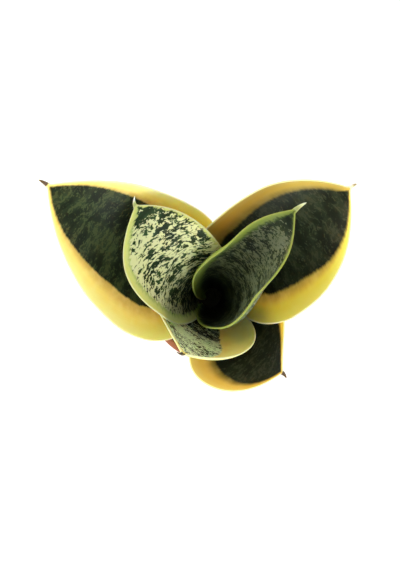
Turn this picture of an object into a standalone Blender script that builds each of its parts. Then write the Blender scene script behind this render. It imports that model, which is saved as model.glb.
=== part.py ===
"""A dwarf bird's-nest snake plant in a small clay pot: pot, potting soil, rhizome and six leaves.

The origin is the centre of the pot's underside, +Z is up, and lengths are written in millimetres
and turned into metres where the meshes are made. Each leaf grows from a ring of the rhizome along
a midrib that leans outwards, and its blade is curled round that midrib like a scoop.
"""

import math

import bmesh
import bpy
from mathutils import Vector

MM = 0.001
CLEARANCE = 0.3
TURNED_SHARP_ANGLE = 35
LEAF_SHARP_ANGLE = 60

# Pot: a plain thrown clay pot with a banded rim and drain holes round a solid centre.
POT_RIM_RADIUS = 36.5
POT_FOOT_RADIUS = 24.0
POT_HEIGHT = 64.0
POT_WALL = 3.6
POT_FLOOR = 5.0
POT_SEGMENTS = 48
RIM_BAND_HEIGHT = 15.0
RIM_BAND_STEP = 2.4
EDGE_ROUNDING = 1.2
DRAIN_HOLES = 4
DRAIN_HOLE_RADIUS = 2.5
DRAIN_RING_RADIUS = 13.0
DRAIN_SEGMENTS = 16

# Soil: fills the pot to this far below its rim.
SOIL_BELOW_RIM = 9.0
SOIL_CROWN = 1.0

# Rhizome: the crown that the leaves grow from, set a little behind the pot's centre.
CROWN_Y = 1.0
CROWN_DEPTH = 16.0
CROWN_CORE_RADIUS = 2.6
CROWN_EDGE = 1.0
RHIZOME_SEGMENTS = 36

# Leaves, youngest first. Angles are in degrees.
#   azimuth, sweep   heading of the midrib at its base, and how far it turns by the tip
#   ring             place on the crown, counted outwards from the heart
#   length           of the midrib
#   lean, lean_power lean from upright at the base and at the tip, and how late it comes
#   roll             turn of the blade about its midrib, at the base and at the tip
#   half_width       of the flattened blade at its widest
#   lopsided         share by which the anticlockwise half is wider, at the base and at the tip
#   wrap             1 if the wider half curls further too, 0 if it curls as far on a larger radius
#   widest           where along the midrib the blade is widest, from 0 to 1
#   taper            powers of the taper from there to the tip
#   curl, curl_at    half angle of the blade's arc at the base, at curl_at and at the tip
#   flare            how far each margin opens out again
LEAVES = {
    "leaf_1_heart": dict(
        ring=0, azimuth=55, sweep=-12, length=109, lean=(6, 68), lean_power=1.5, roll=(-25, 4),
        half_width=32, lopsided=(-0.18, -0.18), wrap=0, widest=0.48, taper=(1.5, 1.0),
        curl=(173, 102, 20), curl_at=0.66, flare=(0, 0), mucro=7,
    ),
    "leaf_2_blunt": dict(
        ring=1, azimuth=133, sweep=-3, length=102, lean=(6, 84), lean_power=1.8, roll=(-10, -18),
        half_width=27, lopsided=(0.3, 0.12), wrap=1, widest=0.58, taper=(2.8, 1.0),
        curl=(86, 67, 35), curl_at=0.5, flare=(36, 0), mucro=4,
    ),
    "leaf_3_scoop": dict(
        ring=2, azimuth=240, sweep=-4, length=66, lean=(18, 20), lean_power=1.0, roll=(8, -8),
        half_width=33, lopsided=(0.18, -0.04), wrap=1, widest=0.6, taper=(2.0, 1.0),
        curl=(67, 44, 28), curl_at=0.5, flare=(12, -28), mucro=6,
    ),
    "leaf_4_right": dict(
        ring=3, azimuth=36, sweep=1, length=116, lean=(8, 80), lean_power=1.1, roll=(16, 2),
        half_width=37, lopsided=(-0.06, -0.06), wrap=1, widest=0.5, taper=(2.6, 1.0),
        curl=(69, 50, 30), curl_at=0.5, flare=(0, -15), mucro=4,
    ),
    "leaf_5_left": dict(
        ring=4, azimuth=154, sweep=-14, length=125, lean=(12, 80), lean_power=1.1, roll=(-18, -4),
        half_width=41, lopsided=(0.22, -0.06), wrap=1, widest=0.42, taper=(2.0, 1.0),
        curl=(80, 50, 30), curl_at=0.5, flare=(15, 0), mucro=5,
    ),
    "leaf_6_low": dict(
        ring=5, azimuth=303, sweep=26, length=58, lean=(20, 56), lean_power=1.0, roll=(8, 10),
        half_width=33, lopsided=(-0.1, -0.1), wrap=1, widest=0.5, taper=(2.0, 1.0),
        curl=(52, 46, 30), curl_at=0.5, flare=(0, 25), mucro=4,
    ),
}
LEAF_THICKNESS = 2.4
LEAF_MARGIN_THICKNESS = 0.9
LEAF_TIP_THICKNESS = 1.4
MUCRO_RADIUS = 0.7
CROWN_TOP_ABOVE_SOIL = 4.0
HEART_RING_RADIUS = 5.0
RING_STEP = 0.9
MARGINS_OPEN_BY = 0.5
LEAF_ROWS = 25
LEAF_COLUMNS = 15
MIDRIB_STEPS = 120
ARC_STEPS = 42

# Sizes that follow from the ones above.
SOIL_TOP = POT_HEIGHT - SOIL_BELOW_RIM
RING_PITCH = LEAF_THICKNESS + 2 * CLEARANCE


def material(name, colour, roughness):
    made = bpy.data.materials.new(name)
    made.use_nodes = True
    shader = made.node_tree.nodes["Principled BSDF"]
    shader.inputs["Base Color"].default_value = (*colour, 1.0)
    shader.inputs["Roughness"].default_value = roughness
    shader.inputs["Metallic"].default_value = 0.0
    return made


def add_object(name, points, faces, finish, sharp_angle):
    """One object from points in millimetres, shaded smooth except over edges sharper than the angle."""
    mesh = bpy.data.meshes.new(name)
    mesh.from_pydata([Vector(point) * MM for point in points], [], faces)
    shell = bmesh.new()
    shell.from_mesh(mesh)
    bmesh.ops.recalc_face_normals(shell, faces=shell.faces)
    shell.to_mesh(mesh)
    shell.free()
    mesh.materials.append(finish)
    mesh.shade_smooth()
    mesh.set_sharp_from_angle(angle=math.radians(sharp_angle))
    made = bpy.data.objects.new(name, mesh)
    bpy.context.scene.collection.objects.link(made)
    return made


def rings_to_faces(rings, count, closed_ends):
    """Quads between neighbouring rings of points, and a flat cap on each end when asked."""
    faces = []
    for ring in range(rings - 1):
        for step in range(count):
            after = (step + 1) % count
            low, high = ring * count, (ring + 1) * count
            faces.append((low + step, low + after, high + after, high + step))
    if closed_ends:
        faces.append(tuple(range(count)))
        faces.append(tuple((rings - 1) * count + step for step in range(count)))
    return faces


def turned(name, profile, segments, finish, centre_y=0.0):
    """A solid of revolution about a vertical line: the profile's two ends are its flat middles."""
    points = []
    for radius, height in profile:
        for step in range(segments):
            angle = math.tau * step / segments
            points.append((radius * math.cos(angle), radius * math.sin(angle) + centre_y, height))
    faces = rings_to_faces(len(profile), segments, closed_ends=True)
    return add_object(name, points, faces, finish, TURNED_SHARP_ANGLE)


def pot_inner_radius(height):
    """Radius of the pot's inner wall, which follows the outer taper below the rim band."""
    foot = POT_FOOT_RADIUS - POT_WALL
    mouth = POT_RIM_RADIUS - POT_WALL
    return foot + (mouth - foot) * height / POT_HEIGHT


def build_pot():
    clay = material("clay", (0.42, 0.17, 0.09), 0.85)
    rim_bottom = POT_HEIGHT - RIM_BAND_HEIGHT
    body_top = pot_inner_radius(rim_bottom) + POT_WALL - RIM_BAND_STEP / 2
    band = body_top + RIM_BAND_STEP
    profile = [
        (POT_FOOT_RADIUS - EDGE_ROUNDING, 0),
        (POT_FOOT_RADIUS, EDGE_ROUNDING),
        (body_top, rim_bottom - EDGE_ROUNDING),
        (band - EDGE_ROUNDING / 2, rim_bottom),
        (band, rim_bottom + EDGE_ROUNDING),
        (POT_RIM_RADIUS, POT_HEIGHT - EDGE_ROUNDING),
        (POT_RIM_RADIUS - EDGE_ROUNDING, POT_HEIGHT),
        (POT_RIM_RADIUS - POT_WALL + EDGE_ROUNDING, POT_HEIGHT),
        (pot_inner_radius(POT_HEIGHT - EDGE_ROUNDING), POT_HEIGHT - EDGE_ROUNDING),
        (pot_inner_radius(POT_FLOOR), POT_FLOOR),
    ]
    pot = turned("pot", profile, POT_SEGMENTS, clay)
    for hole in range(DRAIN_HOLES):
        angle = math.tau * (hole + 0.5) / DRAIN_HOLES
        cutter = turned(
            f"drain_hole_cutter_{hole + 1}",
            [(DRAIN_HOLE_RADIUS, -POT_FLOOR), (DRAIN_HOLE_RADIUS, 2 * POT_FLOOR)],
            DRAIN_SEGMENTS,
            clay,
        )
        cutter.location = Vector((math.cos(angle), math.sin(angle), 0)) * DRAIN_RING_RADIUS * MM
        cutter.hide_render = True
        cutter.display_type = "WIRE"
        cut = pot.modifiers.new(f"drain_hole_{hole + 1}", "BOOLEAN")
        cut.operation = "DIFFERENCE"
        cut.solver = "EXACT"
        cut.object = cutter


def ring_radius(ring):
    """Radius that a leaf's base follows: each leaf is wrapped round the one inside it."""
    return HEART_RING_RADIUS + ring * RING_PITCH


def leaf_base_height(ring):
    """Height of a leaf's base: the crown steps down from its core to its outermost ring."""
    return SOIL_TOP + CROWN_TOP_ABOVE_SOIL - RING_STEP * ring


def crown_steps():
    """(inner edge, outer edge, height) of the terrace under each leaf, from the core outwards."""
    steps = []
    edge = CROWN_CORE_RADIUS
    for leaf in sorted(LEAVES.values(), key=lambda leaf: leaf["ring"]):
        base = leaf_section(leaf, 0.0, Vector((0, 0, leaf_base_height(leaf["ring"]))))
        outer_edge = ring_radius(leaf["ring"]) + LEAF_THICKNESS + CLEARANCE
        steps.append((edge, outer_edge, min(point.z for point in base) - CLEARANCE))
        edge = outer_edge
    return steps


def crown_radius():
    return ring_radius(max(leaf["ring"] for leaf in LEAVES.values())) + LEAF_THICKNESS + CROWN_EDGE


def build_rhizome():
    flesh = material("rhizome_flesh", (0.50, 0.30, 0.10), 0.7)
    bottom = SOIL_TOP - CROWN_DEPTH
    outer = crown_radius()
    profile = [(outer * 0.5, bottom), (outer, bottom + CROWN_DEPTH / 2)]
    steps = crown_steps()
    steps[-1] = (steps[-1][0], outer, steps[-1][2])
    for inner_edge, outer_edge, height in reversed(steps):
        profile += [(outer_edge, height), (inner_edge, height)]
    core_top = steps[0][2] + RING_STEP
    profile += [(CROWN_CORE_RADIUS, core_top), (CROWN_CORE_RADIUS / 2, core_top + RING_STEP)]
    turned("rhizome", profile, RHIZOME_SEGMENTS, flesh, centre_y=CROWN_Y)


def build_soil():
    """A plug of soil that fills the pot, with a round pit that the rhizome sits in."""
    soil = material("potting_soil", (0.045, 0.030, 0.020), 0.95)
    floor = POT_FLOOR + CLEARANCE
    wall = pot_inner_radius(SOIL_TOP) - CLEARANCE
    pit = crown_radius() + CLEARANCE
    pit_floor = SOIL_TOP - CROWN_DEPTH - CLEARANCE
    segments = POT_SEGMENTS
    outline = [
        (pot_inner_radius(floor) - CLEARANCE, floor, 0),
        (wall, SOIL_TOP, 0),
        ((pit + wall) / 2, SOIL_TOP + SOIL_CROWN, CROWN_Y / 2),
        (pit, SOIL_TOP, CROWN_Y),
        (pit, pit_floor, CROWN_Y),
    ]
    points = []
    for radius, height, centre_y in outline:
        for step in range(segments):
            angle = math.tau * step / segments
            points.append((radius * math.cos(angle), radius * math.sin(angle) + centre_y, height))
    faces = rings_to_faces(len(outline), segments, closed_ends=True)
    add_object("potting_soil", points, faces, soil, TURNED_SHARP_ANGLE)


def smooth(share):
    share = min(max(share, 0.0), 1.0)
    return share * share * (3 - 2 * share)


def between(pair, share):
    return pair[0] + (pair[1] - pair[0]) * share


def leaf_half_width(leaf, along):
    """Half width of the flattened blade: it swells from the base, then tapers to the tip."""
    base = ring_radius(leaf["ring"]) * math.radians(leaf["curl"][0])
    widest = leaf["half_width"]
    if along < leaf["widest"]:
        return base + (widest - base) * math.sin(math.pi / 2 * along / leaf["widest"])
    past = (along - leaf["widest"]) / (1 - leaf["widest"])
    inner_power, outer_power = leaf["taper"]
    return max(widest * (1 - past**inner_power) ** outer_power, MUCRO_RADIUS)


def leaf_curl(leaf, along):
    """Half angle, in radians, that the blade's arc turns through."""
    base, middle, tip = leaf["curl"]
    if along < leaf["curl_at"]:
        angle = between((base, middle), smooth(along / leaf["curl_at"]))
    else:
        angle = between((middle, tip), smooth((along - leaf["curl_at"]) / (1 - leaf["curl_at"])))
    return math.radians(angle)


def leaf_frame(leaf, along):
    """Directions of the midrib, of the blade's width and of its inner face, part of the way along."""
    lean = math.radians(between(leaf["lean"], along ** leaf["lean_power"]))
    azimuth = math.radians(leaf["azimuth"] + leaf["sweep"] * along**2)
    roll = math.radians(between(leaf["roll"], along))
    midrib = Vector(
        (math.sin(lean) * math.cos(azimuth), math.sin(lean) * math.sin(azimuth), math.cos(lean))
    )
    level = Vector((-math.sin(azimuth), math.cos(azimuth), 0))
    inward = midrib.cross(level)
    width = level * math.cos(roll) + inward * math.sin(roll)
    face = inward * math.cos(roll) - level * math.sin(roll)
    return midrib, width, face


def midrib_points(leaf):
    """Points evenly spaced along the midrib, from its seat on the crown."""
    seat = math.radians(leaf["azimuth"] + leaf["roll"][0])
    radius = ring_radius(leaf["ring"])
    height = leaf_base_height(leaf["ring"])
    here = Vector((radius * math.cos(seat), radius * math.sin(seat) + CROWN_Y, height))
    points = [here]
    for step in range(MIDRIB_STEPS):
        midrib, _, _ = leaf_frame(leaf, (step + 0.5) / MIDRIB_STEPS)
        here = here + midrib * leaf["length"] / MIDRIB_STEPS
        points.append(here)
    return points


def blade_arc(leaf, along):
    """(across, inward, angle) from the midrib out to each margin: the blade's curled section."""
    curl = leaf_curl(leaf, along)
    opened = smooth(along / MARGINS_OPEN_BY)
    lopsided = between(leaf["lopsided"], along)
    arc = {0: (0.0, 0.0, 0.0)}
    for side in (-1, 1):
        flare = math.radians(leaf["flare"][0 if side < 0 else 1]) * opened
        half_width = leaf_half_width(leaf, along) * (1 + side * lopsided)
        turn = curl * (1 + side * lopsided * leaf["wrap"])
        across = inward = 0.0
        for step in range(1, ARC_STEPS + 1):
            middle = (step - 0.5) / ARC_STEPS
            angle = side * (turn * middle - flare * middle**3)
            across += side * math.cos(angle) * half_width / ARC_STEPS
            inward += side * math.sin(angle) * half_width / ARC_STEPS
            end = step / ARC_STEPS
            arc[side * step] = (across, inward, side * (turn * end - flare * end**3))
    return arc


def leaf_section(leaf, along, centre):
    """One closed ring of the leaf: its inner face from margin to margin, then its outer face back."""
    _, width, face = leaf_frame(leaf, along)
    arc = blade_arc(leaf, along)
    middle = between((LEAF_THICKNESS, LEAF_TIP_THICKNESS), along)
    inner, outer = [], []
    for column in range(LEAF_COLUMNS):
        place = 2 * column / (LEAF_COLUMNS - 1) - 1
        across, inward, angle = arc[round(place * ARC_STEPS)]
        point = centre + width * across + face * inward
        normal = face * math.cos(angle) - width * math.sin(angle)
        thickness = LEAF_MARGIN_THICKNESS + (middle - LEAF_MARGIN_THICKNESS) * (1 - place**2)
        inner.append(point)
        outer.append(point - normal * thickness)
    return inner + outer[::-1]


def build_leaf(name, leaf, finish):
    points = []
    centres = midrib_points(leaf)
    for row in range(LEAF_ROWS):
        along = row / (LEAF_ROWS - 1)
        points += leaf_section(leaf, along, centres[round(along * MIDRIB_STEPS)])
    midrib, width, face = leaf_frame(leaf, 1.0)
    tip = centres[-1] + midrib * leaf["mucro"]
    count = 2 * LEAF_COLUMNS
    for step in range(count):
        turn = math.pi - math.tau * (step + 0.5) / count
        spread = width * math.cos(turn) + face * math.sin(turn)
        points.append(tip + spread * MUCRO_RADIUS / 2)
    faces = rings_to_faces(LEAF_ROWS + 1, count, closed_ends=True)
    add_object(name, points, faces, finish, LEAF_SHARP_ANGLE)


def main():
    for old in list(bpy.data.objects):
        bpy.data.objects.remove(old)
    build_pot()
    build_soil()
    build_rhizome()
    for name, leaf in LEAVES.items():
        build_leaf(name, leaf, material(name, (0.10, 0.16, 0.05), 0.45))


main()
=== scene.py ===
"""Looks of the potted dwarf snake plant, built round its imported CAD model.

Lengths are in millimetres, in the CAD's own frame, and become metres where a mesh is made. Each leaf
is grown again from the same values as its solid, as a fine closed blade with rounded margins, and
carries two attributes that its material reads: where a point lies on the blade, and how far it is
from the nearest margin.
"""

import math

import bmesh
import bpy
import numpy as np
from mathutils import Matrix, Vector, noise


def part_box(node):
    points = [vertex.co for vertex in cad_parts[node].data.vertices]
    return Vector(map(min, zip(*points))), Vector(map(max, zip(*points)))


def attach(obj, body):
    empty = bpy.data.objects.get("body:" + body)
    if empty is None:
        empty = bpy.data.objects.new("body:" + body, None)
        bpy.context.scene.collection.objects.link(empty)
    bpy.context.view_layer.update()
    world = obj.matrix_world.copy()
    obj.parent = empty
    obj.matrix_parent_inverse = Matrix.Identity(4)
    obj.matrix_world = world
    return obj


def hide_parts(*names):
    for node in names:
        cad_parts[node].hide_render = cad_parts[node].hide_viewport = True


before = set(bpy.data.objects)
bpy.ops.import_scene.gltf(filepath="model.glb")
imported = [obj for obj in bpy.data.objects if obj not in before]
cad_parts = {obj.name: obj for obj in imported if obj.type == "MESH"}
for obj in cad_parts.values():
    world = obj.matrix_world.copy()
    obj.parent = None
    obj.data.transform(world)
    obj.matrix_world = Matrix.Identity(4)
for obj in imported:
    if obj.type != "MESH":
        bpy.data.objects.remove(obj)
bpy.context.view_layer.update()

MM = 0.001

# Camera: straight above the plant, a little to the left of the pot's middle.
CAMERA_AT = (-6.8, 7.3, 600.0)
CAMERA_LENS = 59.2
CAMERA_SENSOR = 36.0

# Crown and leaves: these repeat the values of the solids.
SOIL_TOP = 55.0
CROWN_Y = 1.0
CROWN_TOP_ABOVE_SOIL = 4.0
HEART_RING_RADIUS = 5.0
RING_STEP = 0.9
RING_PITCH = 3.0
LEAF_THICKNESS = 2.4
LEAF_MARGIN_THICKNESS = 0.9
LEAF_TIP_THICKNESS = 1.4
MUCRO_RADIUS = 0.7
MARGINS_OPEN_BY = 0.5

# Leaves, youngest first. Angles are in degrees.
#   azimuth, sweep   heading of the midrib at its base, and how far it turns by the tip
#   ring             place on the crown, counted outwards from the heart
#   length           of the midrib
#   lean, lean_power lean from upright at the base and at the tip, and how late it comes
#   roll             turn of the blade about its midrib, at the base and at the tip
#   half_width       of the flattened blade at its widest
#   lopsided         share by which the anticlockwise half is wider, at the base and at the tip
#   wrap             1 if the wider half curls further too, 0 if it curls as far on a larger radius
#   widest           where along the midrib the blade is widest, from 0 to 1
#   taper            powers of the taper from there to the tip
#   curl, curl_at    half angle of the blade's arc at the base, at curl_at and at the tip
#   flare            how far each margin opens out again
#   mucro            length of the hard point
LEAVES = {
    "leaf_1_heart": dict(
        ring=0, azimuth=55, sweep=-12, length=109, lean=(6, 68), lean_power=1.5, roll=(-25, 4),
        half_width=32, lopsided=(-0.18, -0.18), wrap=0, widest=0.48, taper=(1.5, 1.0),
        curl=(173, 102, 20), curl_at=0.66, flare=(0, 0), mucro=7,
    ),
    "leaf_2_blunt": dict(
        ring=1, azimuth=133, sweep=-3, length=102, lean=(6, 84), lean_power=1.8, roll=(-10, -18),
        half_width=27, lopsided=(0.3, 0.12), wrap=1, widest=0.58, taper=(2.8, 1.0),
        curl=(86, 67, 35), curl_at=0.5, flare=(36, 0), mucro=4,
    ),
    "leaf_3_scoop": dict(
        ring=2, azimuth=240, sweep=-4, length=66, lean=(18, 20), lean_power=1.0, roll=(8, -8),
        half_width=33, lopsided=(0.18, -0.04), wrap=1, widest=0.6, taper=(2.0, 1.0),
        curl=(67, 44, 28), curl_at=0.5, flare=(12, -28), mucro=6,
    ),
    "leaf_4_right": dict(
        ring=3, azimuth=36, sweep=1, length=116, lean=(8, 80), lean_power=1.1, roll=(16, 2),
        half_width=37, lopsided=(-0.06, -0.06), wrap=1, widest=0.5, taper=(2.6, 1.0),
        curl=(69, 50, 30), curl_at=0.5, flare=(0, -15), mucro=4,
    ),
    "leaf_5_left": dict(
        ring=4, azimuth=154, sweep=-14, length=125, lean=(12, 80), lean_power=1.1, roll=(-18, -4),
        half_width=41, lopsided=(0.22, -0.06), wrap=1, widest=0.42, taper=(2.0, 1.0),
        curl=(80, 50, 30), curl_at=0.5, flare=(15, 0), mucro=5,
    ),
    "leaf_6_low": dict(
        ring=5, azimuth=303, sweep=26, length=58, lean=(20, 56), lean_power=1.0, roll=(8, 10),
        half_width=33, lopsided=(-0.1, -0.1), wrap=1, widest=0.5, taper=(2.0, 1.0),
        curl=(52, 46, 30), curl_at=0.5, flare=(0, 25), mucro=4,
    ),
}

# Looks of each leaf.
#   bands      width of the golden margin at base, middle and tip, on the clockwise and the other side
#   sides      painted shade of that margin: how bright it is on the clockwise side and on the other
#   gold_lit_to_shaded  colours of that margin, from the rim to its inner border: golden, with painted
#   light making it paler towards the rim and painted shade making it darker towards the inner border
#   border     how ragged and how soft that inner border is, in mm
#   green      darkest and lightest green of the blade
#   painted_tip_light  painted light that makes the blade lighter towards its tip
#   silver     share of the blade that silver flecks cover low down and high up, and what is added to
#              it beside the anticlockwise margin
#   plain_tip  what is added to that share close to the tip
#   fleck      colour of the flecks, and how much finer than the broadest ones they are
#   rim        colour of the thin edge
#   tip        colours of the dry point, from its root to its end
#   hook       how far the point bends towards the inner face and along the width, for its length
#   seed       shifts the flecks and the waves of the margin
LEAF_LOOKS = {
    "leaf_1_heart": dict(
        slot="leaf_dark", bands=((1.5, 2, 1), (6, 11, 3)), sides=(0.8, 1.0),
        gold_lit_to_shaded=((0.21, 0.29, 0.05), (0.17, 0.23, 0.045), (0.06, 0.10, 0.02)), border=(3.0, 4.0),
        green=((0.008, 0.014, 0.005), (0.026, 0.042, 0.016)), painted_tip_light=0.0, silver=(0.34, 0.50, 0.0),
        plain_tip=-0.35, fleck=((0.130, 0.150, 0.078), 1.6), rim=(0.22, 0.28, 0.07),
        tip=((0.30, 0.36, 0.16), (0.62, 0.66, 0.45)), hook=(0.1, -0.15), seed=3,
    ),
    "leaf_2_blunt": dict(
        slot="leaf_silver", bands=((1, 1, 0.9), (4, 5.5, 5)), sides=(0.9, 1.0),
        gold_lit_to_shaded=((0.62, 0.66, 0.20), (0.56, 0.62, 0.22), (0.30, 0.42, 0.12)), border=(4.5, 1.4),
        green=((0.012, 0.026, 0.009), (0.034, 0.078, 0.026)), painted_tip_light=0.0, silver=(0.34, 0.50, 0.24),
        plain_tip=-0.3, fleck=((0.65, 0.68, 0.36), 1.25), rim=(0.52, 0.56, 0.30),
        tip=((0.34, 0.42, 0.16), (0.80, 0.80, 0.70)), hook=(0.5, -0.9), seed=11,
    ),
    "leaf_3_scoop": dict(
        slot="leaf_dark", bands=((10, 8, 4), (16, 20, 4)), sides=(0.9, 1.0),
        gold_lit_to_shaded=((0.97, 0.90, 0.32), (0.95, 0.84, 0.28), (0.84, 0.70, 0.20)), border=(1.8, 1.2),
        green=((0.007, 0.015, 0.008), (0.028, 0.056, 0.030)), painted_tip_light=0.3, silver=(0.22, 0.60, 0.0),
        plain_tip=0.0, fleck=((0.62, 0.74, 0.48), 2.0), rim=(0.80, 0.76, 0.40),
        tip=((0.10, 0.10, 0.06), (0.05, 0.045, 0.04)), hook=(0.1, -0.6), seed=19,
    ),
    "leaf_4_right": dict(
        slot="leaf_dark", bands=((18, 16, 1.4), (17, 14, 6)), sides=(1.0, 0.54),
        gold_lit_to_shaded=((0.99, 0.84, 0.24), (0.98, 0.78, 0.13), (0.50, 0.42, 0.08)), border=(1.0, 2.4),
        green=((0.006, 0.010, 0.004), (0.016, 0.027, 0.011)), painted_tip_light=0.6, silver=(0.34, 0.38, 0.0),
        plain_tip=0.0, fleck=((0.030, 0.040, 0.018), 1.6), rim=(0.95, 0.86, 0.50),
        tip=((0.80, 0.78, 0.70), (0.20, 0.19, 0.18)), hook=(0.1, -0.1), seed=29,
    ),
    "leaf_5_left": dict(
        slot="leaf_dark", bands=((15, 12, 1.8), (21, 18, 1.5)), sides=(1.0, 1.0),
        gold_lit_to_shaded=((0.98, 0.85, 0.40), (0.95, 0.74, 0.24), (0.56, 0.46, 0.11)), border=(0.8, 1.4),
        green=((0.006, 0.012, 0.005), (0.018, 0.034, 0.013)), painted_tip_light=0.7, silver=(0.34, 0.42, 0.0),
        plain_tip=0.0, fleck=((0.038, 0.058, 0.020), 1.5), rim=(0.96, 0.88, 0.56),
        tip=((0.12, 0.11, 0.08), (0.05, 0.045, 0.04)), hook=(0.1, 0.15), seed=37,
    ),
    "leaf_6_low": dict(
        slot="leaf_dark", bands=((18, 14, 3), (9, 7, 1.8)), sides=(0.66, 0.92),
        gold_lit_to_shaded=((0.99, 0.82, 0.26), (0.92, 0.68, 0.13), (0.28, 0.22, 0.04)), border=(0.6, 2.0),
        green=((0.006, 0.010, 0.005), (0.013, 0.021, 0.010)), painted_tip_light=0.2, silver=(0.32, 0.40, 0.0),
        plain_tip=0.0, fleck=((0.028, 0.036, 0.020), 1.8), rim=(0.95, 0.86, 0.50),
        tip=((0.10, 0.09, 0.07), (0.04, 0.035, 0.03)), hook=(0.1, -0.3), seed=43,
    ),
}

# Fineness of the blades. ROW_POWER under 1 draws the rows a little closer together near the tip.
ARC_STEPS = 36
BLADE_ROWS = 130
ROW_POWER = 0.95
MIDRIB_STEPS = 600
MUCRO_ROWS = 10
EDGE_POINTS = 4

# Waves of the margins, as (period in mm, share of the height). The outer face reads the flecks and
# borders OUTER_SHIFT away from the inner one, and MIDRIB_BLEND is the part of the half width over
# which one side's margin width turns into the other's.
WAVE_HEIGHT = 0.35
WAVES = ((47.0, 0.6), (23.0, 0.4))
OUTER_SHIFT = 40.0
MIDRIB_BLEND = 0.45

# Waxy leaf skin. Light soaks in by SKIN_DEPTH times each of the depths for red, green and blue.
SKIN_SOAK = 0.8
SKIN_DEPTH = 4.0
SKIN_COLOUR_DEPTHS = (1.0, 0.7, 0.25)
SKIN_SPECULAR = 0.12

# Soil and pot. The soil is highest round the crown, sinks to SOIL_EDGE_HEIGHT at SOIL_RADIUS, and has
# a hollow under the rolled leaf.
SOIL_EDGE_HEIGHT = 55.3
SOIL_MOUND_SLOPE = 0.165
SOIL_HOLLOW_RADIUS = 6.5
SOIL_HOLLOW_DEPTH = 3.0
SOIL_LUMP_HEIGHT = 0.55
SOIL_RADIUS = 31
SOIL_FOOT_RADIUS = 20.9
SOIL_CLEAR_RADIUS = 9.0
SOIL_RINGS = 46
SOIL_SEGMENTS = 144
GRAIN_ROUGHNESS = 0.55
POT_SEGMENTS = 160
POT_FOOT_RADIUS = 24.0
POT_WALL = 3.6
POT_FLOOR = 5.0
RIM_BAND_HEIGHT = 15.0
RIM_BAND_STEP = 2.4
FOOT_ROUNDING = 1.2
BAND_ROUNDING = 1.1
LIP_ROUNDING = 1.3
FLOOR_ROUNDING = 2
DRAIN_HOLES = 4
DRAIN_HOLE_RADIUS = 2.5
DRAIN_RING_RADIUS = 13.0
DRAIN_SEGMENTS = 32
SHARP_ANGLE = 40

# Studio. A lamp is (name, place in metres, watts, colour).
FLOOR_REACH = 8.0
HORIZON_STRENGTH = 1.3
ZENITH_DIMMING = -0.85
LAMP_SIZE = 0.8
LAMP_AIM = (0, 0, 0.1)
LAMPS = (
    ("left_light", (-1.3, 0.6, 0.65), 14.0, (1.0, 0.99, 0.96)),
    ("right_light", (1.4, 0.3, 0.55), 4.0, (1.0, 0.98, 0.95)),
    ("near_light", (0.3, -1.4, 0.6), 13.0, (1.0, 0.99, 0.97)),
)


# Node trees


def node(tree, kind, inputs=None, **settings):
    """One node: settings are its properties, and inputs its sockets' values or what feeds them."""
    made = tree.nodes.new(kind)
    for name, value in settings.items():
        setattr(made, name, value)
    for name, value in (inputs or {}).items():
        if isinstance(value, bpy.types.NodeSocket):
            tree.links.new(value, made.inputs[name])
        else:
            made.inputs[name].default_value = value
    return made


def calculate(tree, operation, first, second=0.0, third=0.0):
    """A Math node's result: the third value is read by MULTIPLY_ADD only."""
    inputs = {0: first, 1: second}
    if operation == "MULTIPLY_ADD":
        inputs[2] = third
    return node(tree, "ShaderNodeMath", inputs, operation=operation).outputs[0]


def blend_colours(tree, factor, first, second):
    """The first colour where the factor is 0, and the second where it is 1."""
    first = (*first, 1.0) if isinstance(first, tuple) else first
    second = (*second, 1.0) if isinstance(second, tuple) else second
    inputs = {0: factor, 6: first, 7: second}
    return node(tree, "ShaderNodeMix", inputs, data_type="RGBA").outputs[2]


def step_between(tree, value, low, high):
    """0 below low, 1 above high, and smooth between them."""
    inputs = {"Value": value, "From Min": low, "From Max": high}
    return node(tree, "ShaderNodeMapRange", inputs, interpolation_type="SMOOTHSTEP").outputs[0]


def stretched(tree, vector, scale):
    inputs = {0: vector, 1: scale}
    return node(tree, "ShaderNodeVectorMath", inputs, operation="MULTIPLY").outputs[0]


def scaled(tree, vector, factor):
    inputs = {0: vector, "Scale": factor}
    return node(tree, "ShaderNodeVectorMath", inputs, operation="SCALE").outputs[0]


def bumped(tree, shader, height, strength, depth):
    """Raises the shader's surface by height, with depth in millimetres."""
    inputs = {"Height": height, "Strength": strength, "Distance": depth * MM}
    bump = node(tree, "ShaderNodeBump", inputs)
    tree.links.new(bump.outputs[0], shader.inputs["Normal"])


def noise_value(tree, vector, scale, detail=3.0, roughness=0.5, distortion=0.0):
    inputs = {
        "Vector": vector, "Scale": scale, "Detail": detail, "Roughness": roughness,
        "Distortion": distortion,
    }
    return node(tree, "ShaderNodeTexNoise", inputs).outputs[0]


def node_group(name, inputs, outputs):
    """An empty shader group with named sockets: inputs and outputs are (name, kind, default)."""
    group = bpy.data.node_groups.new(name, "ShaderNodeTree")
    for in_out, sockets in (("INPUT", inputs), ("OUTPUT", outputs)):
        for socket_name, kind, default in sockets:
            socket = group.interface.new_socket(
                socket_name, in_out=in_out, socket_type=f"NodeSocket{kind}"
            )
            if default is not None:
                socket.default_value = default
    entry = group.nodes.new("NodeGroupInput").outputs
    leave = group.nodes.new("NodeGroupOutput").inputs
    return group, entry, leave


def grouped(tree, group, inputs):
    return node(tree, "ShaderNodeGroup", inputs, node_tree=group).outputs


def new_material(name):
    made = bpy.data.materials.new(name)
    made.use_nodes = True
    return made, made.node_tree, made.node_tree.nodes["Principled BSDF"]


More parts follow.
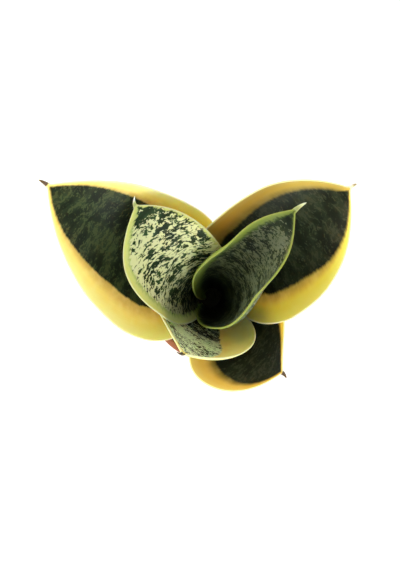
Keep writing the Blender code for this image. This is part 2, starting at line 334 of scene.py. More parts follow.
def mottling_group():
    """Silver flecks: short flecks across the blade, gathered in loose bands."""
    group, entry, leave = node_group(
        "transverse_mottling",
        [
            ("Blade", "Vector", None), ("Cover", "Float", 0.5), ("Fineness", "Float", 1.0),
            ("Seed", "Float", 0.0),
        ],
        [("Flecks", "Float", None), ("Bands", "Float", None)],
    )
    shift = node(group, "ShaderNodeCombineXYZ", {"Z": entry["Seed"]}).outputs[0]
    place = node(
        group, "ShaderNodeVectorMath", {0: entry["Blade"], 1: shift}, operation="ADD"
    ).outputs[0]
    warp = noise_value(group, stretched(group, place, (0.09, 0.09, 1)), 1.0, 2.0)
    lift = calculate(group, "MULTIPLY_ADD", warp, 7.0, -3.5)
    bent = node(
        group, "ShaderNodeVectorMath",
        {0: place, 1: node(group, "ShaderNodeCombineXYZ", {"Y": lift}).outputs[0]},
        operation="ADD",
    ).outputs[0]
    bands = noise_value(group, stretched(group, bent, (0.07, 0.15, 1)), 1.0, 2.0, 0.5)
    flecks = noise_value(
        group, stretched(group, bent, (0.24, 0.55, 1)), entry["Fineness"], 2.0, 0.55, 0.3
    )
    grain = noise_value(
        group, stretched(group, bent, (0.70, 1.35, 1)), entry["Fineness"], 2.0, 0.6
    )
    both = calculate(
        group, "MULTIPLY_ADD", bands, 0.30,
        calculate(group, "MULTIPLY_ADD", flecks, 0.50, calculate(group, "MULTIPLY", grain, 0.30)),
    )
    level = calculate(group, "MULTIPLY_ADD", entry["Cover"], -0.28, 0.69)
    made = step_between(
        group, both, calculate(group, "SUBTRACT", level, 0.018),
        calculate(group, "ADD", level, 0.022),
    )
    group.links.new(made, leave["Flecks"])
    group.links.new(bands, leave["Bands"])
    return group


def margin_group():
    """The golden margin: its mask, and how deep into it a point lies, 0 at the rim to 1 inside."""
    group, entry, leave = node_group(
        "golden_margin",
        [
            ("Blade", "Vector", None), ("Edge", "Float", 0.0), ("Band", "Float", 5.0),
            ("Ragged", "Float", 1.0), ("Soft", "Float", 1.0),
        ],
        [
            ("Margin", "Float", None), ("Depth", "Float", None), ("Cloud", "Float", None),
            ("Rim", "Float", None),
        ],
    )
    wander = noise_value(group, stretched(group, entry["Blade"], (0.02, 0.05, 1)), 1.0, 2.0)
    ragged = noise_value(group, stretched(group, entry["Blade"], (0.12, 0.8, 1)), 1.0, 3.0, 0.6)
    border = calculate(
        group, "MULTIPLY", entry["Band"], calculate(group, "MULTIPLY_ADD", wander, 0.3, 0.85)
    )
    swing = calculate(group, "MULTIPLY_ADD", ragged, 2.0, -1.0)
    border = calculate(group, "MULTIPLY_ADD", swing, entry["Ragged"], border)
    inside = calculate(group, "SUBTRACT", border, entry["Edge"])
    inside = calculate(group, "DIVIDE", inside, entry["Soft"])
    group.links.new(step_between(group, inside, -0.5, 0.5), leave["Margin"])
    group.links.new(calculate(group, "DIVIDE", entry["Edge"], border), leave["Depth"])
    cloud = noise_value(group, stretched(group, entry["Blade"], (0.16, 0.16, 1)), 1.0, 3.0)
    group.links.new(cloud, leave["Cloud"])
    group.links.new(step_between(group, entry["Edge"], 0.45, 0.05), leave["Rim"])
    return group


def wax_group():
    """Waxy leaf skin: its roughness, and the height of its fine ribs and pores."""
    group, entry, leave = node_group(
        "waxy_skin",
        [("Blade", "Vector", None)],
        [("Roughness", "Float", None), ("Height", "Float", None)],
    )
    ribs = noise_value(group, stretched(group, entry["Blade"], (1.1, 0.05, 1)), 1.0, 2.0)
    pores = noise_value(group, entry["Blade"], 3.0, 2.0)
    bloom = noise_value(group, entry["Blade"], 0.12, 4.0, 0.6)
    height = calculate(group, "MULTIPLY_ADD", pores, 0.25, ribs)
    group.links.new(height, leave["Height"])
    rough = calculate(group, "MULTIPLY_ADD", bloom, 0.22, 0.36)
    group.links.new(rough, leave["Roughness"])
    return group


MOTTLING = mottling_group()
MARGIN = margin_group()
WAX = wax_group()


def attribute(tree, name):
    return node(tree, "ShaderNodeAttribute", attribute_name=name).outputs["Vector"]


def colour_steps(tree, value, colours):
    """A smooth run through the colours, evenly spaced from 0 to 1."""
    ramp = node(tree, "ShaderNodeValToRGB", {"Fac": value})
    ramp.color_ramp.interpolation = "EASE"
    stops = ramp.color_ramp.elements
    while len(stops) < len(colours):
        stops.new(0.5)
    for index, colour in enumerate(colours):
        stops[index].position = index / (len(colours) - 1)
        stops[index].color = (*colour, 1.0)
    return ramp.outputs["Color"]


def leaf_material(name, look):
    """Green blade with silver flecks, a golden margin, a thin pale rim and a dry point, with painted
    shade and painted light on blade and margin.

    The steps of share lie along the blade, from 0 at its base to 1 at its tip, and past 1 on the
    point. Those of edge and across are in millimetres from the margin and from the midrib.
    """
    made, tree, shader = new_material(name)
    blade = attribute(tree, "blade_mm")
    edge, band, share = node(
        tree, "ShaderNodeSeparateXYZ", {0: attribute(tree, "margin_mm")}
    ).outputs
    across = node(tree, "ShaderNodeSeparateXYZ", {0: blade}).outputs[0]
    low_cover, high_cover, more_beside = look["silver"]
    high_up = step_between(tree, share, 0.25, 0.62)
    cover = calculate(tree, "MULTIPLY_ADD", high_up, high_cover - low_cover, low_cover)
    beside = calculate(
        tree, "MULTIPLY", step_between(tree, edge, 16.0, 4.0), step_between(tree, across, 0.0, 6.0)
    )
    cover = calculate(tree, "MULTIPLY_ADD", beside, more_beside, cover)
    plain_tip = step_between(tree, share, 0.84, 0.97)
    cover = calculate(tree, "MULTIPLY_ADD", plain_tip, look["plain_tip"], cover)
    fleck_colour, fineness = look["fleck"]
    flecks = grouped(
        tree, MOTTLING,
        {"Blade": blade, "Cover": cover, "Fineness": fineness, "Seed": float(look["seed"])},
    )
    ragged, soft = look["border"]
    golden = grouped(
        tree, MARGIN, {"Blade": blade, "Edge": edge, "Band": band, "Ragged": ragged, "Soft": soft}
    )
    wax = grouped(tree, WAX, {"Blade": blade})

    dark, light = look["green"]
    green = blend_colours(tree, step_between(tree, flecks["Bands"], 0.35, 0.65), dark, light)
    colour = blend_colours(tree, flecks["Flecks"], green, fleck_colour)
    # Painted shade darkens the blade towards its base, deep in the rosette, and painted light lightens
    # it towards its tip.
    painted_shade_and_light = calculate(tree, "MULTIPLY_ADD", step_between(tree, share, 0.08, 0.62), 0.78, 0.22)
    lift = step_between(tree, share, 0.55, 0.95)
    painted_shade_and_light = calculate(tree, "MULTIPLY_ADD", lift, look["painted_tip_light"], painted_shade_and_light)
    colour = scaled(tree, colour, painted_shade_and_light)
    # The margin's colours run from the rim inwards: golden, painted paler at the rim as painted light
    # and darker at the inner border as painted shade.
    gold_lit_to_shaded = colour_steps(tree, golden["Depth"], look["gold_lit_to_shaded"])
    cloud = step_between(tree, golden["Cloud"], 0.35, 0.7)
    gold_lit_to_shaded = blend_colours(tree, calculate(tree, "MULTIPLY", cloud, 0.30), gold_lit_to_shaded, look["gold_lit_to_shaded"][0])
    # Painted shade: the golden margin is darker on one side of the blade, set per leaf.
    clockwise, other = look["sides"]
    side_shade = calculate(
        tree, "MULTIPLY_ADD", step_between(tree, across, -4.0, 4.0), other - clockwise, clockwise
    )
    colour = blend_colours(tree, golden["Margin"], colour, scaled(tree, gold_lit_to_shaded, side_shade))
    colour = blend_colours(tree, golden["Rim"], colour, look["rim"])
    point = colour_steps(tree, step_between(tree, share, 1.02, 1.2), look["tip"])
    colour = blend_colours(tree, step_between(tree, share, 0.995, 1.02), colour, point)

    tree.links.new(colour, shader.inputs["Base Color"])
    tree.links.new(wax["Roughness"], shader.inputs["Roughness"])
    shader.inputs["Subsurface Weight"].default_value = SKIN_SOAK
    shader.inputs["Subsurface Radius"].default_value = SKIN_COLOUR_DEPTHS
    shader.inputs["Subsurface Scale"].default_value = SKIN_DEPTH * MM
    shader.inputs["Specular IOR Level"].default_value = SKIN_SPECULAR
    bumped(tree, shader, wax["Height"], 0.25, 0.2)
    return made


# Shapes


def directions(segments):
    """(cosine, sine) of evenly spaced places round a circle."""
    turns = [math.tau * step / segments for step in range(segments)]
    return [(math.cos(turn), math.sin(turn)) for turn in turns]


def ring_faces(rings, segments, flip=False):
    """Faces between neighbouring rings of points."""
    faces = []
    for ring in range(rings - 1):
        low, high = ring * segments, (ring + 1) * segments
        for step in range(segments):
            after = (step + 1) % segments
            if flip:
                faces.append((low + step, high + step, high + after, low + after))
            else:
                faces.append((low + step, low + after, high + after, high + step))
    return faces


def smooth(share):
    """An even ease from 0 to 1."""
    share = np.clip(share, 0.0, 1.0)
    return share * share * (3 - 2 * share)


def between(pair, share):
    return pair[0] + (pair[1] - pair[0]) * share


# Leaves


def ring_radius(leaf):
    return HEART_RING_RADIUS + leaf["ring"] * RING_PITCH


def half_widths(leaf, along):
    """Half width of the flattened blade: it swells from the base, then tapers to the tip."""
    base = ring_radius(leaf) * math.radians(leaf["curl"][0])
    widest = leaf["half_width"]
    swelling = base + (widest - base) * np.sin(np.pi / 2 * np.minimum(along / leaf["widest"], 1))
    past = np.clip((along - leaf["widest"]) / (1 - leaf["widest"]), 0, 1)
    inner_power, outer_power = leaf["taper"]
    tapering = np.maximum(widest * (1 - past**inner_power) ** outer_power, MUCRO_RADIUS)
    return np.where(along < leaf["widest"], swelling, tapering)


def curls(leaf, along):
    """Half angle, in radians, that the blade's arc turns through."""
    base, middle, tip = leaf["curl"]
    below = between((base, middle), smooth(along / leaf["curl_at"]))
    above = between((middle, tip), smooth((along - leaf["curl_at"]) / (1 - leaf["curl_at"])))
    return np.radians(np.where(along < leaf["curl_at"], below, above))


def leaf_frames(leaf, along):
    """Directions of the midrib, of the blade's width and of its inner face, at each place along."""
    lean = np.radians(between(leaf["lean"], along ** leaf["lean_power"]))
    azimuth = np.radians(leaf["azimuth"] + leaf["sweep"] * along**2)
    roll = np.radians(between(leaf["roll"], along))[:, None]
    flat = np.zeros_like(along)
    heading = np.stack([np.cos(azimuth), np.sin(azimuth), flat], 1)
    upright = np.array([[0.0, 0.0, 1.0]])
    midrib = heading * np.sin(lean)[:, None] + upright * np.cos(lean)[:, None]
    level = np.stack([-np.sin(azimuth), np.cos(azimuth), flat], 1)
    inward = np.cross(midrib, level)
    width = level * np.cos(roll) + inward * np.sin(roll)
    face = inward * np.cos(roll) - level * np.sin(roll)
    return midrib, width, face


def midrib_line(leaf, along):
    """Points of the midrib, from its seat on the crown."""
    seat = math.radians(leaf["azimuth"] + leaf["roll"][0])
    radius = ring_radius(leaf)
    height = SOIL_TOP + CROWN_TOP_ABOVE_SOIL - RING_STEP * leaf["ring"]
    start = np.array([radius * math.cos(seat), radius * math.sin(seat) + CROWN_Y, height])
    middles = (np.arange(MIDRIB_STEPS) + 0.5) / MIDRIB_STEPS
    runs = leaf_frames(leaf, middles)[0] * leaf["length"] / MIDRIB_STEPS
    line = np.vstack([start, start + np.cumsum(runs, 0)])
    places = np.linspace(0, 1, MIDRIB_STEPS + 1)
    return np.stack([np.interp(along, places, line[:, axis]) for axis in range(3)], 1)


def arcs(leaf, along):
    """Points of the curled sections, and the half widths of the anticlockwise and the other side.

    A point is (across, inward, angle of the blade there, distance from the midrib along the blade).
    """
    curl = curls(leaf, along)[:, None]
    opened = smooth(along / MARGINS_OPEN_BY)[:, None]
    lopsided = between(leaf["lopsided"], along)[:, None]
    half = half_widths(leaf, along)[:, None]
    middles = ((np.arange(ARC_STEPS) + 0.5) / ARC_STEPS)[None, :]
    ends = ((np.arange(ARC_STEPS) + 1.0) / ARC_STEPS)[None, :]
    sides = {}
    for side, flare in ((-1, leaf["flare"][0]), (1, leaf["flare"][1])):
        flare = math.radians(flare) * opened
        half_width = half * (1 + side * lopsided)
        turn = curl * (1 + side * lopsided * leaf["wrap"])
        angle = side * (turn * middles - flare * middles**3)
        across = np.cumsum(side * np.cos(angle), 1) * half_width / ARC_STEPS
        inward = np.cumsum(side * np.sin(angle), 1) * half_width / ARC_STEPS
        end_angle = side * (turn * ends - flare * ends**3)
        sides[side] = np.stack([across, inward, end_angle, side * ends * half_width], 2)
    centre = np.zeros((len(along), 1, 4))
    points = np.concatenate([sides[-1][:, ::-1], centre, sides[1]], 1)
    return points, half * (1 + lopsided), half * (1 - lopsided)


def margin_waves(leaf, along, place, seed):
    """Gentle waves of the blade, which grow towards its margins."""
    length = (along * leaf["length"])[:, None]
    waves = 0
    for period, share in WAVES:
        waves = waves + share * np.sin(math.tau * length / period + seed + 1.3 * np.sign(place))
    fading = np.sin(np.pi * along)[:, None]
    return WAVE_HEIGHT * waves * np.abs(place) ** 2.5 * fading


def across_midrib(pair, place):
    """The clockwise side's value turning smoothly into the other side's."""
    return between(pair, smooth(0.5 + place / (2 * MIDRIB_BLEND)))


def band_widths(look, along, place):
    """Width of the golden margin beside each point of the blade."""
    rows = []
    for base, middle, tip in look["bands"]:
        below = between((base, middle), smooth(along / 0.5))
        above = between((middle, tip), smooth((along - 0.5) / 0.5))
        rows.append(np.where(along < 0.5, below, above)[:, None])
    return across_midrib(rows, place)


def rounded_margin(inner, outer, normal, outwards):
    """Rows of points round a margin, from the inner face to the outer one."""
    centre = (inner + outer) / 2
    radius = LEAF_MARGIN_THICKNESS / 2
    turns = np.pi * (np.arange(EDGE_POINTS) + 1) / (EDGE_POINTS + 1)
    return [
        centre + radius * (normal * math.cos(turn) + outwards * math.sin(turn)) for turn in turns
    ]


def around(values):
    """The same values on the inner face, one margin, the outer face and the other margin."""
    first = np.repeat(values[:, -1:], EDGE_POINTS, 1)
    last = np.repeat(values[:, :1], EDGE_POINTS, 1)
    return np.concatenate([values, first, values[:, ::-1], last], 1)


def build_leaf(name, leaf, look):
    """A leaf's mesh, and where its material has to find each point.

    Each row of points runs round the blade: inner face, anticlockwise margin, outer face and
    clockwise margin.
    """
    along = np.linspace(0, 1, BLADE_ROWS) ** ROW_POWER
    place = np.linspace(-1, 1, 2 * ARC_STEPS + 1)[None, :]
    midrib, width, face = leaf_frames(leaf, along)
    centres = midrib_line(leaf, along)
    arc, wide_half, other_half = arcs(leaf, along)
    angle = arc[:, :, 2, None]
    normal = face[:, None] * np.cos(angle) - width[:, None] * np.sin(angle)
    outwards = width[:, None] * np.cos(angle) + face[:, None] * np.sin(angle)
    inner = centres[:, None] + width[:, None] * arc[:, :, 0, None] + face[:, None] * arc[:, :, 1, None]
    inner = inner + normal * margin_waves(leaf, along, place, look["seed"])[:, :, None]
    middle = between((LEAF_THICKNESS, LEAF_TIP_THICKNESS), along)[:, None]
    thickness = LEAF_MARGIN_THICKNESS + (middle - LEAF_MARGIN_THICKNESS) * (1 - place**2)
    outer = inner - normal * thickness[:, :, None]

    right = rounded_margin(inner[:, -1], outer[:, -1], normal[:, -1], outwards[:, -1])
    left = rounded_margin(inner[:, 0], outer[:, 0], normal[:, 0], -outwards[:, 0])
    ring = [inner[:, column] for column in range(inner.shape[1])] + right
    ring += [outer[:, column] for column in reversed(range(outer.shape[1]))] + left[::-1]
    points = np.stack(ring, 1)

    half = across_midrib((other_half, wide_half), place)
    edge = around(half * (1 - np.abs(place)))
    bands = around(band_widths(look, along, place))
    shares = around(along[:, None] + 0 * place)
    margin = np.stack([edge, bands, shares], 2)

    across = around(arc[:, :, 3])
    length = around((along * leaf["length"])[:, None] + 0 * place)
    count = place.shape[1]
    outer_start = count + EDGE_POINTS // 2
    shift = np.zeros_like(across)
    shift[:, outer_start:outer_start + count + EDGE_POINTS] = OUTER_SHIFT
    blade = np.stack([across, length, shift], 2)

    end = (centres[-1], midrib[-1], width[-1], face[-1])
    return leaf_mesh(name, *add_mucro(leaf, look, points, blade, margin, end))


def add_mucro(leaf, look, points, blade, margin, end):
    """The same points, blade and margin places, and the rings of the hard point that hooks over."""
    root, midrib, width, face = end
    offsets = points[-1] - root
    hook_in, hook_aside = look["hook"]
    rings, blades, margins = [], [], []
    for row in range(1, MUCRO_ROWS + 1):
        share = row / MUCRO_ROWS
        reach = leaf["mucro"] * share
        bend = leaf["mucro"] * share**2
        centre = root + midrib * reach + face * hook_in * bend + width * hook_aside * bend
        size = (1 - share) ** 0.7 * 0.85 + 0.12
        rings.append(centre + offsets * size)
        blades.append(
            np.stack([blade[-1, :, 0] * size, blade[-1, :, 1] + reach, blade[-1, :, 2]], 1)
        )
        tip_share = np.full(len(offsets), 1 + 0.2 * share)
        margins.append(np.stack([margin[-1, :, 0], margin[-1, :, 1], tip_share], 1))
    return (
        np.concatenate([points, rings]), np.concatenate([blade, blades]),
        np.concatenate([margin, margins]),
    )


def end_faces(first, count):
    """Faces that close one end of a leaf: strips between its two skins, and its rounded margins."""
    columns = count // 2 - EDGE_POINTS
    facing = [first + 2 * columns + EDGE_POINTS - 1 - column for column in range(columns)]
    faces = [
        (first + column, first + column + 1, facing[column + 1], facing[column])
        for column in range(columns - 1)
    ]
    right = [first + columns - 1 + step for step in range(EDGE_POINTS + 2)]
    left = [first + count - EDGE_POINTS - 1 + step for step in range(EDGE_POINTS + 1)] + [first]
    return faces + [tuple(right), tuple(left)]


def leaf_mesh(name, points, blade, margin):
    """The closed mesh through rings of points, with the two attributes that a leaf's skin reads."""
    rows, count = points.shape[:2]
    faces = ring_faces(rows, count)
    faces += end_faces(0, count) + end_faces((rows - 1) * count, count)
    mesh = bpy.data.meshes.new(name)
    mesh.from_pydata((points.reshape(-1, 3) * MM).tolist(), [], faces)
    for attribute_name, values in (("blade_mm", blade), ("margin_mm", margin)):
        made = mesh.attributes.new(attribute_name, "FLOAT_VECTOR", "POINT")
        made.data.foreach_set("vector", values.reshape(-1).astype(np.float32))
    shell = bmesh.new()
    shell.from_mesh(mesh)
    bmesh.ops.recalc_face_normals(shell, faces=shell.faces)
    shell.to_mesh(mesh)
    shell.free()
    mesh.shade_smooth()
    made = bpy.data.objects.new(name, mesh)
    bpy.context.scene.collection.objects.link(made)
    return made


def build_leaves():
    for name, leaf in LEAVES.items():
        look = LEAF_LOOKS[name]
        piece = build_leaf(f"{name}_blade", leaf, look)
        piece.data.materials.append(leaf_material(f"{name}_skin", look))
        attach(piece, "root")
        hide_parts(name)


# Pot, soil and crown


def clay_material():
    """Fired clay with turning lines, cloudy patches and a little lime bloom."""
    made, tree, shader = new_material("fired_clay")
    place = node(tree, "ShaderNodeTexCoord").outputs["Object"]
    cloud = noise_value(tree, place, 45.0, 5.0, 0.6)
    grain = noise_value(tree, place, 1400.0, 2.0)
    rings = noise_value(tree, stretched(tree, place, (8, 8, 520)), 1.0, 2.0)
    warm = blend_colours(
        tree, step_between(tree, cloud, 0.3, 0.7), (0.27, 0.085, 0.036), (0.39, 0.145, 0.066)
    )
    colour = blend_colours(tree, calculate(tree, "MULTIPLY", grain, 0.22), warm, (0.50, 0.25, 0.14))
    bloom = step_between(tree, noise_value(tree, place, 70.0, 6.0, 0.65), 0.56, 0.74)
    colour = blend_colours(tree, calculate(tree, "MULTIPLY", bloom, 0.32), colour, (0.62, 0.48, 0.38))
    tree.links.new(colour, shader.inputs["Base Color"])
    tree.links.new(calculate(tree, "MULTIPLY_ADD", grain, 0.15, 0.78), shader.inputs["Roughness"])
    height = calculate(tree, "MULTIPLY_ADD", rings, 0.8, calculate(tree, "MULTIPLY", grain, 0.5))
    bumped(tree, shader, height, 0.5, 0.25)
    return made


def soil_material(name, dark, light):
    """Matt, lumpy earth or grains, mottled between the two colours."""
    made, tree, shader = new_material(name)
    place = node(tree, "ShaderNodeTexCoord").outputs["Object"]
    lumps = noise_value(tree, place, 260.0, 5.0, 0.65)
    grain = noise_value(tree, place, 1800.0, 2.0)
    mixed = calculate(tree, "MULTIPLY_ADD", grain, 0.4, calculate(tree, "MULTIPLY", lumps, 0.6))
    colour = blend_colours(tree, step_between(tree, mixed, 0.35, 0.65), dark, light)
    tree.links.new(colour, shader.inputs["Base Color"])
    shader.inputs["Roughness"].default_value = 0.95
    bumped(tree, shader, mixed, 0.8, 0.5)
    return made


def arc_points(centre, radius, start, end, count=6):
    """Points of a rounded corner of a profile, in degrees."""
    x, y = centre
    turns = [math.radians(start + (end - start) * step / count) for step in range(count + 1)]
    return [(x + radius * math.cos(turn), y + radius * math.sin(turn)) for turn in turns]


def turned(name, profile, segments):
    """A solid of revolution about Z from a profile of (radius, height), closed at both ends."""
    points = [
        Vector((radius * cos, radius * sin, height)) * MM
        for radius, height in profile for cos, sin in directions(segments)
    ]
    faces = ring_faces(len(profile), segments)
    faces.append(tuple(range(segments))[::-1])
    faces.append(tuple((len(profile) - 1) * segments + step for step in range(segments)))
    mesh = bpy.data.meshes.new(name)
    mesh.from_pydata(points, [], faces)
    mesh.shade_smooth()
    mesh.set_sharp_from_angle(angle=math.radians(SHARP_ANGLE))
    made = bpy.data.objects.new(name, mesh)
    bpy.context.scene.collection.objects.link(made)
    return made


def pot_profile(rim, height):
    """(radius, height) from under the foot, up the outside and over the rim, down to the floor."""
    mouth = rim - POT_WALL

    def inside(level):
        """Radius of the tapered inner wall at this level."""
        foot = POT_FOOT_RADIUS - POT_WALL
        return foot + (mouth - foot) * level / height

    shoulder = height - RIM_BAND_HEIGHT
    body_top = inside(shoulder) + POT_WALL - RIM_BAND_STEP / 2
    band = body_top + RIM_BAND_STEP
    foot_edge = (POT_FOOT_RADIUS - FOOT_ROUNDING, FOOT_ROUNDING)
    profile = [(POT_FOOT_RADIUS - 3.2, 0.0), (POT_FOOT_RADIUS - 3.0, 0.0)]
    profile += arc_points(foot_edge, FOOT_ROUNDING, -90, -5)
    for share in (0.25, 0.5, 0.75):
        radius = POT_FOOT_RADIUS + (body_top - POT_FOOT_RADIUS) * share
        profile += [(radius, FOOT_ROUNDING + (shoulder - 2 * FOOT_ROUNDING) * share)]
    profile += [(body_top, shoulder - FOOT_ROUNDING)]
    profile += arc_points((band - BAND_ROUNDING, shoulder + BAND_ROUNDING), BAND_ROUNDING, -80, 0)
    profile += [(between((band, rim), 0.5), between((shoulder, height), 0.5))]
    profile += arc_points((rim - LIP_ROUNDING, height - LIP_ROUNDING), LIP_ROUNDING, 0, 90)
    profile += arc_points((mouth + LIP_ROUNDING, height - LIP_ROUNDING), LIP_ROUNDING, 90, 180)
    corner = POT_FLOOR + FLOOR_ROUNDING
    profile += [(inside(corner), corner)]
    profile += arc_points(
        (inside(POT_FLOOR) - FLOOR_ROUNDING, corner), FLOOR_ROUNDING, 0, -90
    )
    return profile


def build_pot():
    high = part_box("pot")[1]
    pot = turned("clay_pot", pot_profile(high.x / MM, high.z / MM), POT_SEGMENTS)
    pot.data.materials.append(clay_material())
    through = [(DRAIN_HOLE_RADIUS, -5), (DRAIN_HOLE_RADIUS, 12)]
    for hole in range(DRAIN_HOLES):
        angle = math.tau * (hole + 0.5) / DRAIN_HOLES
        cutter = turned(f"drain_cutter_{hole}", through, DRAIN_SEGMENTS)
        cutter.location = Vector((math.cos(angle), math.sin(angle), 0)) * DRAIN_RING_RADIUS * MM
        cut = pot.modifiers.new("drain", "BOOLEAN")
        cut.object = cutter
        bake(pot)
        bpy.data.objects.remove(cutter)
    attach(pot, "root")
    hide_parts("pot")


def bake(piece):
    """Turns a piece's modifiers into its mesh."""
    bpy.context.view_layer.update()
    graph = bpy.context.evaluated_depsgraph_get()
    mesh = bpy.data.meshes.new_from_object(piece.evaluated_get(graph), depsgraph=graph)
    piece.modifiers.clear()
    piece.data = mesh


def soil_height(radius, x, y):
    """Height of the soil's surface: a low mound round the crown, hollow under the rolled leaf."""
    mound = SOIL_EDGE_HEIGHT + SOIL_MOUND_SLOPE * (SOIL_RADIUS - radius)
    hollow = SOIL_HOLLOW_DEPTH * (1 - smooth((radius - SOIL_HOLLOW_RADIUS + 2) / 3))
    lumps = noise.fractal(Vector((x * 0.35, y * 0.35, 4.0)), 0.6, 2.1, 4) * SOIL_LUMP_HEIGHT
    return mound - hollow + lumps


def soil_mesh(name):
    """The plug of soil: a lumpy top of rings, and a flat foot."""
    low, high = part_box("potting_soil")
    outer, floor = high.x / MM, low.z / MM
    points = []
    for ring in range(SOIL_RINGS + 1):
        radius = outer * ring / SOIL_RINGS
        for cos, sin in directions(SOIL_SEGMENTS):
            x, y = radius * cos, radius * sin
            points.append(Vector((x, y, float(soil_height(radius, x, y - CROWN_Y)))) * MM)
    for cos, sin in directions(SOIL_SEGMENTS):
        points.append(Vector((SOIL_FOOT_RADIUS * cos, SOIL_FOOT_RADIUS * sin, floor)) * MM)
    faces = ring_faces(SOIL_RINGS + 2, SOIL_SEGMENTS, flip=True)
    foot = (SOIL_RINGS + 1) * SOIL_SEGMENTS
    faces.append(tuple(range(foot, foot + SOIL_SEGMENTS))[::-1])
    mesh = bpy.data.meshes.new(name)
    mesh.from_pydata(points, [], faces)
    shell = bmesh.new()
    shell.from_mesh(mesh)
    bmesh.ops.remove_doubles(shell, verts=shell.verts, dist=1e-6)
    bmesh.ops.recalc_face_normals(shell, faces=shell.faces)
    shell.to_mesh(mesh)
    shell.free()
    mesh.shade_smooth()
    return mesh


def build_soil():
    mesh = soil_mesh("potting_soil_surface")
    mesh.materials.append(soil_material("damp_peat", (0.012, 0.008, 0.005), (0.05, 0.034, 0.02)))
    soil = bpy.data.objects.new("potting_soil_surface", mesh)
    bpy.context.scene.collection.objects.link(soil)
    crumbs = soil_material("bark_crumbs", (0.02, 0.013, 0.008), (0.12, 0.075, 0.04))
    perlite = soil_material("perlite", (0.55, 0.54, 0.50), (0.85, 0.84, 0.80))
    scatter(soil, crumbs, density=0.42, sizes=(0.45, 1.15), seed=5)
    scatter(soil, perlite, density=0.012, sizes=(0.6, 1.1), seed=9)
    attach(soil, "root")
    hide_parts("potting_soil")


def scatter(piece, finish, density, sizes, seed):
    """Adds irregular grains to the upward faces of a piece, and keeps them in its mesh.

    The density is in grains per square millimetre, and the sizes are the least and greatest radius.
    """
    values = {
        "Density": density, "Smallest": sizes[0], "Largest": sizes[1], "Clear": SOIL_CLEAR_RADIUS,
        "Seed": seed,
    }
    tree = scatter_tree(finish)
    grains = piece.modifiers.new("grains", "NODES")
    grains.node_group = tree
    for item in tree.interface.items_tree:
        if item.name in values:
            grains[item.identifier] = values[item.name]
    bake(piece)


def scatter_tree(finish):
    """Grains of random size and turn on upward faces, none within Clear of the middle."""
    tree = bpy.data.node_groups.new("scattered_grains", "GeometryNodeTree")
    sockets = tree.interface
    sockets.new_socket("Geometry", in_out="INPUT", socket_type="NodeSocketGeometry")
    for name in ("Density", "Smallest", "Largest", "Clear"):
        sockets.new_socket(name, in_out="INPUT", socket_type="NodeSocketFloat")
    sockets.new_socket("Seed", in_out="INPUT", socket_type="NodeSocketInt")
    sockets.new_socket("Geometry", in_out="OUTPUT", socket_type="NodeSocketGeometry")
    entry = tree.nodes.new("NodeGroupInput").outputs
    leave = tree.nodes.new("NodeGroupOutput").inputs

    normal = node(tree, "GeometryNodeInputNormal").outputs[0]
    up = node(tree, "ShaderNodeSeparateXYZ", {0: normal}).outputs[2]
    upward = calculate(tree, "GREATER_THAN", up, 0.3)
    position = node(tree, "GeometryNodeInputPosition").outputs[0]
    flat = stretched(tree, position, (1, 1, 0))
    reach = node(tree, "ShaderNodeVectorMath", {0: flat}, operation="LENGTH").outputs["Value"]
    clear = calculate(tree, "MULTIPLY", entry["Clear"], MM)
    allowed = calculate(tree, "MULTIPLY", upward, calculate(tree, "GREATER_THAN", reach, clear))
    spots = node(tree, "GeometryNodeDistributePointsOnFaces", {
        "Mesh": entry["Geometry"], "Selection": allowed, "Seed": entry["Seed"],
        "Density": calculate(tree, "MULTIPLY", entry["Density"], 1 / MM**2),
    }).outputs["Points"]

    full_turns = (math.tau, math.tau, math.tau)
    turn = node(
        tree, "FunctionNodeRandomValue", {0: (0, 0, 0), 1: full_turns, "Seed": entry["Seed"]},
        data_type="FLOAT_VECTOR",
    ).outputs[0]
    next_seed = calculate(tree, "ADD", entry["Seed"], 1)
    share = node(
        tree, "FunctionNodeRandomValue", {0: (0, 0, 0), 1: (1, 1, 1), "Seed": next_seed},
        data_type="FLOAT_VECTOR",
    ).outputs[0]
    small = calculate(tree, "MULTIPLY", entry["Smallest"], MM)
    large = calculate(tree, "MULTIPLY", entry["Largest"], MM)
    size = node(
        tree, "ShaderNodeVectorMath",
        {0: share, 1: calculate(tree, "SUBTRACT", large, small), 2: small},
        operation="MULTIPLY_ADD",
    ).outputs[0]
    ball = {"Radius": 1.0, "Subdivisions": 1}
    grain = node(tree, "GeometryNodeMeshIcoSphere", ball).outputs["Mesh"]
    placed = node(tree, "GeometryNodeInstanceOnPoints", {
        "Points": spots, "Instance": grain, "Rotation": turn, "Scale": size,
    }).outputs[0]
    real = node(tree, "GeometryNodeRealizeInstances", {0: placed}).outputs[0]

    field = {"Vector": position, "Scale": 900.0, "Detail": 2.0}
    rough = node(tree, "ShaderNodeTexNoise", field).outputs[0]
    push = calculate(
        tree, "MULTIPLY_ADD", rough, 2 * GRAIN_ROUGHNESS * MM, -GRAIN_ROUGHNESS * MM
    )
    moved = {"Geometry": real, "Offset": scaled(tree, normal, push)}
    shaped = node(tree, "GeometryNodeSetPosition", moved).outputs[0]
    painted = node(
        tree, "GeometryNodeSetMaterial", {"Geometry": shaped, "Material": finish}
    ).outputs[0]
    joined = node(tree, "GeometryNodeJoinGeometry")
    tree.links.new(painted, joined.inputs[0])
    tree.links.new(entry["Geometry"], joined.inputs[0])
    tree.links.new(joined.outputs[0], leave["Geometry"])
    return tree


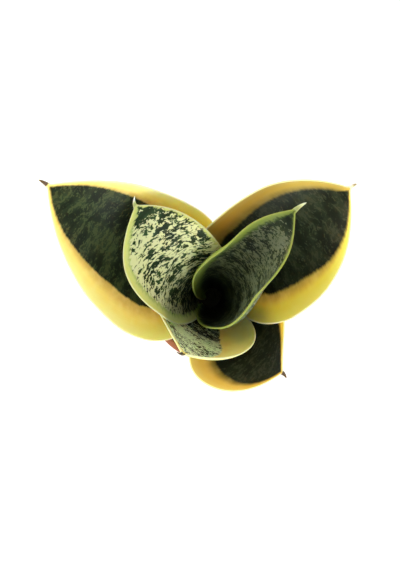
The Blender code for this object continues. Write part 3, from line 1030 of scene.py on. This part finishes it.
def dress_rhizome():
    """The crown keeps its CAD mesh, because the leaves all but hide it, and gets a dark green darkened
    to near black as painted shade, so the heart leaf's funnel reads as a dark hole.
    """
    made, tree, shader = new_material("rhizome_flesh")
    place = node(tree, "ShaderNodeTexCoord").outputs["Object"]
    rings = noise_value(tree, stretched(tree, place, (60, 60, 700)), 1.0, 3.0)
    # Painted shade: nearly black, as the crown lies deep in shade inside the rosette.
    colour = blend_colours(tree, rings, (0.008, 0.010, 0.004), (0.03, 0.03, 0.012))
    tree.links.new(colour, shader.inputs["Base Color"])
    shader.inputs["Roughness"].default_value = 0.85
    bumped(tree, shader, rings, 0.4, 0.3)
    shader.inputs["Specular IOR Level"].default_value = 0.1
    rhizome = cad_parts["rhizome"]
    rhizome.data.materials.clear()
    rhizome.data.materials.append(made)


# Studio


def build_floor():
    corners = [(-1, -1, 0), (1, -1, 0), (1, 1, 0), (-1, 1, 0)]
    mesh = bpy.data.meshes.new("floor")
    mesh.from_pydata([Vector(corner) * FLOOR_REACH for corner in corners], [], [(0, 1, 2, 3)])
    made, _, shader = new_material("pale_floor")
    shader.inputs["Base Color"].default_value = (0.93, 0.93, 0.92, 1)
    shader.inputs["Roughness"].default_value = 0.9
    shader.inputs["Emission Color"].default_value = (1, 1, 1, 1)
    shader.inputs["Emission Strength"].default_value = 0.25
    mesh.materials.append(made)
    floor = bpy.data.objects.new("floor", mesh)
    bpy.context.scene.collection.objects.link(floor)


def build_dome():
    """Soft white light from all round, dimmer towards the zenith."""
    world = bpy.data.worlds.new("soft_dome")
    bpy.context.scene.world = world
    world.use_nodes = True
    tree = world.node_tree
    heading = node(tree, "ShaderNodeTexCoord").outputs["Generated"]
    height = node(tree, "ShaderNodeSeparateXYZ", {0: heading}).outputs[2]
    height = calculate(tree, "MAXIMUM", height, 0.0)
    level = calculate(tree, "MULTIPLY_ADD", height, ZENITH_DIMMING, HORIZON_STRENGTH)
    tree.links.new(level, tree.nodes["Background"].inputs["Strength"])
    tree.nodes["Background"].inputs["Color"].default_value = (1, 1, 1, 1)


def build_lamps():
    for name, spot, power, colour in LAMPS:
        light = bpy.data.lights.new(name, "AREA")
        light.shape = "DISK"
        light.size = LAMP_SIZE
        light.energy = power
        light.color = colour
        lamp = bpy.data.objects.new(name, light)
        lamp.location = spot
        aim = Vector(LAMP_AIM) - Vector(spot)
        lamp.rotation_euler = aim.to_track_quat("-Z", "Y").to_euler()
        bpy.context.scene.collection.objects.link(lamp)


def build_camera():
    data = bpy.data.cameras.new("camera")
    data.lens = CAMERA_LENS
    data.sensor_width = CAMERA_SENSOR
    data.clip_end = 20
    camera = bpy.data.objects.new("camera", data)
    camera.location = Vector(CAMERA_AT) * MM
    bpy.context.scene.collection.objects.link(camera)
    bpy.context.scene.camera = camera


bpy.context.scene.view_settings.view_transform = "Standard"
build_camera()
build_floor()
build_dome()
build_lamps()
build_leaves()
build_pot()
build_soil()
dress_rhizome()
